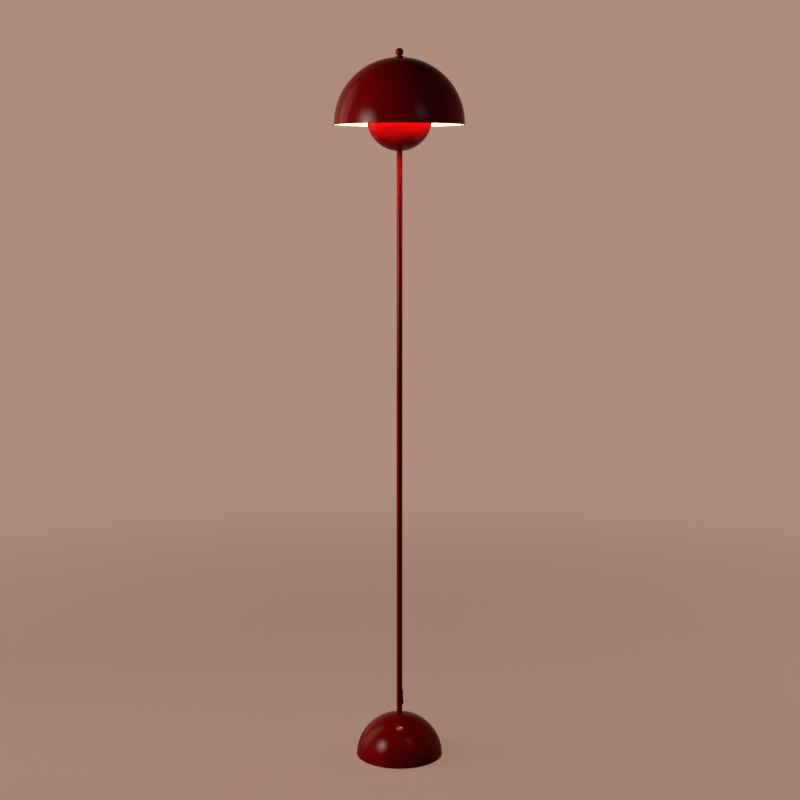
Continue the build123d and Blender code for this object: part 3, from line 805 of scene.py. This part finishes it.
fit(
    swing_to_switch(rocker), "rocker", "black_plastic", black_plastic, replaces=["switch_rocker"]
)

# %% [markdown]
# ## Harp
#
# The shade hangs from a flat strip bent into a loop round the bulb. Half the loop is drawn in side
# view with its four bends rounded, the other half mirrors it, and the line is pulled sideways into
# a strip. Solidify gives the strip its thickness, inwards, as rolled steel with soft edges.

# %% Harp
harp_low, harp_high = (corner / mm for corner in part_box("harp"))
strip_width = harp_high.y - harp_low.y
strip_thickness = 1.5
foot_reach, head_reach = 22.0, 16.0
lower_bend, upper_bend = 40.0, 45.0
harp_stud_hole = 3.05
right_half = rounded(
    [
        (0, harp_low.z),
        (foot_reach, harp_low.z),
        (harp_high.x, harp_low.z + lower_bend),
        (harp_high.x, harp_high.z - upper_bend),
        (head_reach, harp_high.z),
        (0, harp_high.z),
    ],
    [10.0, 22.0, 26.0, 14.0],
    steps=10,
)
loop = right_half + [(-x, z) for x, z in reversed(right_half[:-1])]
harp = draw("harp_strip", [(x * mm, -strip_width / 2 * mm, z * mm) for x, z in loop])
bpy.ops.mesh.select_all(action="SELECT")
bpy.ops.mesh.remove_doubles(threshold=same_point)
bpy.ops.mesh.extrude_region_move(TRANSFORM_OT_translate={"value": (0, strip_width * mm, 0)})
close_up()
outermost = max(harp.data.polygons, key=lambda face: face.center.x)
if outermost.normal.x < 0:
    harp.data.flip_normals()
apply(harp, "SOLIDIFY", thickness=strip_thickness * mm, offset=-1.0, use_even_offset=True)
cut_away(harp, post(nipple_hole_radius, harp_low.z - 2, harp_low.z + 4, 40))
cut_away(harp, post(harp_stud_hole, harp_high.z - 4, harp_high.z + 2, 40))
break_edges(harp, 0.4, 3, 50)
fit(harp, "stand", "white_lacquer", white, replaces=["harp"])

# %% [markdown]
# ## Threaded stud
#
# The stud on the harp takes the shade and the ball nut. A real thread is one V-shaped tooth wound
# up a screw line, which is just what the Screw modifier does. Two bisecting planes trim its ends
# flat and close them, and a turned flange is joined on with a Boolean.


# %% Threads
def threaded(name, radius, depth, pitch, low, high, steps=24):
    """Wind a tooth into a thread between two heights, all in millimetres."""
    core = radius - depth
    tooth = [(core, 0, low - pitch), (radius, 0, low - pitch / 2), (core, 0, low)]
    piece = draw(name, [Vector(corner) * mm for corner in tooth])
    bpy.ops.object.mode_set(mode="OBJECT")
    apply(
        piece, "SCREW", angle=2 * pi, screw_offset=pitch * mm, steps=steps, render_steps=steps,
        iterations=int((high - low) / pitch) + 3, use_merge_vertices=True,
        merge_threshold=same_point,
    )
    bpy.ops.object.mode_set(mode="EDIT")
    for height, which in ((low, "clear_inner"), (high, "clear_outer")):
        bpy.ops.mesh.select_all(action="SELECT")
        bpy.ops.mesh.bisect(
            plane_co=(0, 0, height * mm), plane_no=(0, 0, 1), use_fill=True, **{which: True}
        )
    close_up()
    return piece


stud_low, stud_high = (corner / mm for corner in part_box("shade_stud"))
stud = threaded("shade_stud_threaded", 3.0, 0.5, 1.0, stud_low.z, stud_high.z)
flange_radius, flange_thickness = 6.6, 2.0
flange_top = harp_high.z + flange_thickness
flange = turned(
    "stud_flange",
    [(0, harp_high.z), (flange_radius, harp_high.z), (flange_radius, flange_top), (0, flange_top)],
    steps=48,
)
break_edges(flange, 0.3)
join_on(stud, flange)
fit(stud, "stand", "zinc_steel", zinc, replaces=["shade_stud"])

# %% [markdown]
# ## Lampholder
#
# The holder is a cup and a skirt in white thermoplastic, screwed together. The skirt has four
# grooves for the fingers and turns in at its mouth, close round the bulb's cap. Both are turned
# from closed sections, so the mouth shows a real wall.

# %% Lampholder
holder_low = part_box("holder_cap")[0] / mm
skirt_low, holder_high = (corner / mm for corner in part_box("holder_skirt"))
holder_radius = holder_high.x
holder_wall = 2.0
holder_inner = holder_radius - holder_wall
mouth_radius = 14.9
nipple_radius = 4.0
cup_collar_radius, cup_collar_height = 9.5, 7.0
cup = rounded(
    [
        (nipple_radius, holder_low.z),
        (holder_radius, holder_low.z),
        (holder_radius, skirt_low.z),
        (holder_inner, skirt_low.z),
        (holder_inner, holder_low.z + 9.0),
        (cup_collar_radius, holder_low.z + 2.6),
        (cup_collar_radius, holder_low.z + cup_collar_height),
        (nipple_radius, holder_low.z + cup_collar_height),
        (nipple_radius, holder_low.z),
    ],
    [9.0, 0, 0, 1.0, 0, 0.6, 0],
    steps=8,
)
holder_cup = turned("holder_cup_moulded", cup, steps=80)
break_edges(holder_cup, 0.25)
fit(holder_cup, "stand", "white_plastic", white_plastic, replaces=["holder_cap"])

groove_count = 4
groove_round = 2.0
groove_centre = holder_radius + 1.39
mouth_depth, mouth_chamfer = 2.0, 0.6
groove_pitch = (holder_high.z - skirt_low.z) / (groove_count + 2)
skirt_outline = [(holder_inner, skirt_low.z), (holder_radius, skirt_low.z)]
for groove in range(groove_count):
    middle = skirt_low.z + groove_pitch * (groove + 1.5)
    skirt_outline += arc(middle, groove_round, -142, -218, 6, groove_centre)
skirt_outline += [
    (holder_radius, holder_high.z - mouth_chamfer),
    (holder_radius - mouth_chamfer, holder_high.z),
    (mouth_radius, holder_high.z),
    (mouth_radius, holder_high.z - mouth_depth),
    (holder_inner, holder_high.z - mouth_depth),
    (holder_inner, skirt_low.z),
]
holder_skirt = turned("holder_skirt_moulded", skirt_outline, steps=80)
break_edges(holder_skirt, 0.2, 2, 40)
fit(holder_skirt, "stand", "white_plastic", white_plastic, replaces=["holder_skirt"])

# %% [markdown]
# ## Bulb
#
# The glass is a ball that runs into a cone and a short neck. The cone touches the ball without a
# kink, which takes a little geometry: the angle of the touching point follows from the neck's
# corner and the ball's radius. The cap is rolled aluminium with a rounded thread.

# %% Bulb
glass_low, glass_high = (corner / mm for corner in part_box("bulb_glass"))
bulb_radius = glass_high.x
bulb_middle = glass_high.z - bulb_radius
neck_radius, neck_length = 13.6, 8.0
neck_top = glass_low.z + neck_length
to_neck = sqrt(neck_radius**2 + (bulb_middle - neck_top) ** 2)
touch = (atan2(neck_top - bulb_middle, neck_radius) + acos(bulb_radius / to_neck)) / radians(1)
ball_points = arc(bulb_middle, bulb_radius, 90, touch, 40)
neck_points = rounded(
    [ball_points[-1], (neck_radius, neck_top), (neck_radius, glass_low.z), (0, glass_low.z)],
    [30.0, 0.5],
    steps=8,
)
bulb_glass = turned("bulb_glass_blown", ball_points[:-1] + neck_points, steps=96)
fit(bulb_glass, "bulb", "frosted_glass", glass, replaces=["bulb_glass"])

cap_low, cap_high = (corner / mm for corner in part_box("bulb_cap"))
cap_radius = cap_high.x
cap_taper, cap_wall = 4.5, 0.5
thread_depth, thread_pitch, thread_turns = 0.7, 3.6, 4
cap_outside = [
    (-cap_low.x - cap_taper, cap_low.z),
    (cap_radius - thread_depth, cap_low.z + cap_taper),
]
for tooth in range(thread_turns):
    foot = cap_low.z + 5.0 + tooth * thread_pitch
    cap_outside += [
        (cap_radius - thread_depth, foot),
        (cap_radius - 0.2, foot + 0.8),
        (cap_radius, foot + 1.4),
        (cap_radius - 0.2, foot + 2.0),
        (cap_radius - thread_depth, foot + 2.8),
    ]
cap_outside += [(cap_radius, cap_high.z - 1.2), (cap_radius, cap_high.z)]
cap_inside = [(r - cap_wall, z) for r, z in reversed(cap_outside)]
bulb_cap = turned("bulb_cap_rolled", cap_outside + cap_inside + cap_outside[:1], steps=72)
fit(bulb_cap, "bulb", "cap_metal", cap_metal, replaces=["bulb_cap"])

# %% [markdown]
# ## Pad
#
# What touches the floor is a ring of foam rubber. Its cut edges are square with a slight round.

# %% Pad
pad_low, pad_high = (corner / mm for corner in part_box("floor_pad"))
pad_width = 15.0
pad_inner = pad_high.x - pad_width
pad = turned(
    "floor_pad_cut",
    [
        (pad_inner, pad_low.z),
        (pad_high.x, pad_low.z),
        (pad_high.x, pad_high.z),
        (pad_inner, pad_high.z),
        (pad_inner, pad_low.z),
    ],
    steps=128,
)
break_edges(pad, 0.3)
fit(pad, "stand", "pad_rubber", foam, replaces=["floor_pad"])

# %% [markdown]
# ## The CAD pieces that stay
#
# Nuts, washers, the casting and the wiring inside have the right shape already, so they keep their
# CAD meshes and only get their finishes, each by the material slot that the record names.

# %% Finishes for the CAD pieces
finish_of_slot = {
    "red_lacquer": red,
    "white_lacquer": white,
    "zinc_steel": zinc,
    "black_steel": powder,
    "grey_iron": iron,
    "brass": brass,
    "cap_metal": cap_metal,
    "pad_rubber": foam,
    "bush_rubber": rubber,
    "lead_sheath": sheath,
    "black_plastic": black_plastic,
    "white_plastic": white_plastic,
    "ceramic": ceramic,
    "frosted_glass": glass,
}
for subpart in frame["record"]["subparts"]:
    node = frame["nodes"][subpart["node"]]
    for material_slot in node.material_slots:
        material_slot.material = finish_of_slot[subpart["material_slot"]].material

# %% [markdown]
# ## Lights, floor and air
#
# The lamp stands in a plain studio. Gloss lacquer mirrors its lights, so each light is shaped for
# the mark it leaves: a large one at the front left and a dim one at the front right, both fading
# from the middle to the edge, and a tall panel at the back left that fades upwards and downwards.
# Three broad lights colour the lacquer and are hidden from gloss. The two on the left are kept in
# a narrow beam, which keeps them off the floor. The light the floor bounces onto the lamp takes a
# dimmer copy of the floor's colour, darker still close to the base: that is painted shade under the
# base. The camera sees even warm air, gloss sees it bright behind the lamp and dark in front, which
# keeps the lacquer deep, and all else gets only a faint fill.

# %% Floor
floor_beige = (0.95, 0.68, 0.56)
# floor colours for light bounced onto the lamp: a dimmer copy, and a darker one that is painted
# shade near the base
bounced_beige = (0.5, 0.35, 0.29)
shaded_beige = (0.1, 0.07, 0.06)
air_beige = (0.43, 0.262, 0.208)
floor_reach = 9.0
bpy.ops.object.select_all(action="DESELECT")
bpy.ops.mesh.primitive_circle_add(vertices=96, radius=floor_reach, fill_type="NGON")
floor = bpy.context.object
floor.name = "studio_floor"
floor_finish = Finish("studio_floor", Roughness=0.9, Specular_IOR_Level=0.1)
away = (floor_finish.axis(0) ** 2.0 + floor_finish.axis(1) ** 2.0) ** 0.5
clear = floor_finish.wire.add("ShaderNodeBsdfTransparent")
is_seen = floor_finish.wire.add("ShaderNodeLightPath", output=0)
is_mirrored = floor_finish.wire.add("ShaderNodeLightPath", output=3)
# painted shade: the floor's colour for bounced light darkens within 0.7 m of the base
bounce_with_painted_shade = away.step(0.15, 0.7).blend(shaded_beige, bounced_beige)
floor_finish.set("Base Color", is_seen.blend(bounce_with_painted_shade, floor_beige))
pale_air = floor_finish.wire.add("ShaderNodeEmission", sockets={"Color": (*air_beige, 1.0)})
beyond = floor_finish.wire.add("ShaderNodeMixShader", sockets={0: is_seen, 1: clear, 2: pale_air})
near = 1 - away.step(0.5, 3.0)
shown = near * (1 - 0.68 * is_seen) * (1 - 0.9 * is_mirrored)
faded = floor_finish.wire.add(
    "ShaderNodeMixShader",
    sockets={0: shown, 1: beyond, 2: Wire(None, floor_finish.shader.outputs[0])},
)
floor_tree = floor_finish.material.node_tree
floor_tree.links.new(faded.socket, floor_tree.nodes["Material Output"].inputs["Surface"])
floor.data.materials.append(floor_finish.material)


# %% Soft lamps
def soft_lamp(
    name, place, width, brightness, colour, gloss=True, height=None, shape="ELLIPSE", aim=0.62
):
    """An area lamp aimed at a height on the lamp's axis, of a brightness where 1 is white."""
    bpy.ops.object.light_add(type="AREA", location=place)
    lamp = bpy.context.object
    lamp.name = name
    beam = Vector((0, 0, aim)) - Vector(place)
    lamp.rotation_euler = beam.to_track_quat("-Z", "Y").to_euler()
    lamp.data.shape = shape
    lamp.data.size = width
    lamp.data.size_y = height or width
    fullness = pi / 4 if shape == "ELLIPSE" else 1
    lamp.data.energy = brightness * pi * fullness * width * (height or width)
    lamp.data.color = colour
    lamp.visible_glossy = gloss
    return lamp


def narrow(lamp, spread):
    """Keep a lamp's light in a cone, with its middle as bright as before."""
    half = spread / 2
    lamp.data.spread = spread
    lamp.data.energy *= (tan(half) - half) / tan(half)


def fade(lamp, sharpness, across=1.0, up=1.0):
    """Let a lamp's light die away from its middle to its edge, across, upwards or both."""
    lamp.data.use_nodes = True
    tree = lamp.data.node_tree
    spot = Wire(tree).add("ShaderNodeNewGeometry", output="Parametric")
    u, v = (spot.add("ShaderNodeSeparateXYZ", sockets={0: spot}, output=axis) for axis in (0, 1))
    reach = 2 * ((across * (u - 0.5)) ** 2.0 + (up * (v - 0.5)) ** 2.0) ** 0.5
    left = reach.maths("MAXIMUM", 1 - reach, 0.0) ** sharpness
    tree.links.new(left.socket, tree.nodes["Emission"].inputs["Strength"])


plain_white = (1.0, 0.97, 0.94)
fade(soft_lamp("soft_key", (-1.65, -1.02, 1.20), 1.7, 6.2, (1.0, 0.74, 0.70)), 1.8)
fade(soft_lamp("dim_right", (0.81, -1.06, 1.54), 0.75, 0.32, (1, 1, 1), height=1.0), 1.5)
left_panel = soft_lamp(
    "left_panel", (-2.06, 0.93, 1.3), 1.0, 0.60, (1.0, 0.66, 0.5), height=3.0, shape="RECTANGLE"
)
fade(left_panel, 0.7, across=0.0)
broad_left = soft_lamp(
    "broad_left", (-1.60, -0.15, 1.40), 1.2, 2.5, plain_white, gloss=False, aim=1.2
)
narrow(broad_left, radians(80))
low_left = soft_lamp(
    "low_left", (-1.6, 0.0, 0.50), 0.8, 5.0, plain_white, gloss=False, aim=0.3
)
narrow(low_left, radians(70))
soft_lamp("broad_right", (1.6, 0.45, 0.8), 1.0, 1.3, (1.0, 0.85, 0.75), gloss=False)

# %% Air
world = bpy.data.worlds.new("studio_air")
bpy.context.scene.world = world
world.use_nodes = True
air = Wire(world.node_tree)
look = air.add("ShaderNodeTexCoord", output=0)
side, back, rise = (
    air.add("ShaderNodeSeparateXYZ", sockets={0: look}, output=axis) for axis in range(3)
)
level = (side ** 2.0 + back ** 2.0) ** 0.5
rightward = air.maths("DIVIDE", side, level)
on_right = rightward.step(-0.2, 0.2)
behind = (air.maths("DIVIDE", back, level) + 0.3 * on_right).step(0.3, 0.8)
brightness = behind * (1 - 0.8 * rightward.step(-0.1, 0.75)) * (1 - rise.step(0.0, 0.85))
dark_corner = (1 - rise.step(-0.15, 0.08)) * (1 - on_right)
brightness = brightness * (1 - 0.75 * dark_corner)
seen_in_gloss = brightness.blend((0.004, 0.003, 0.003), (0.27, 0.15, 0.112))
is_camera = air.add("ShaderNodeLightPath", output=0)
is_glossy = air.add("ShaderNodeLightPath", output=3)
fill = is_glossy.blend((0.015, 0.014, 0.0135), seen_in_gloss)
background = world.node_tree.nodes["Background"]
world.node_tree.links.new(is_camera.blend(fill, air_beige).socket, background.inputs["Color"])

view_settings = bpy.context.scene.view_settings
view_settings.view_transform = "Standard"
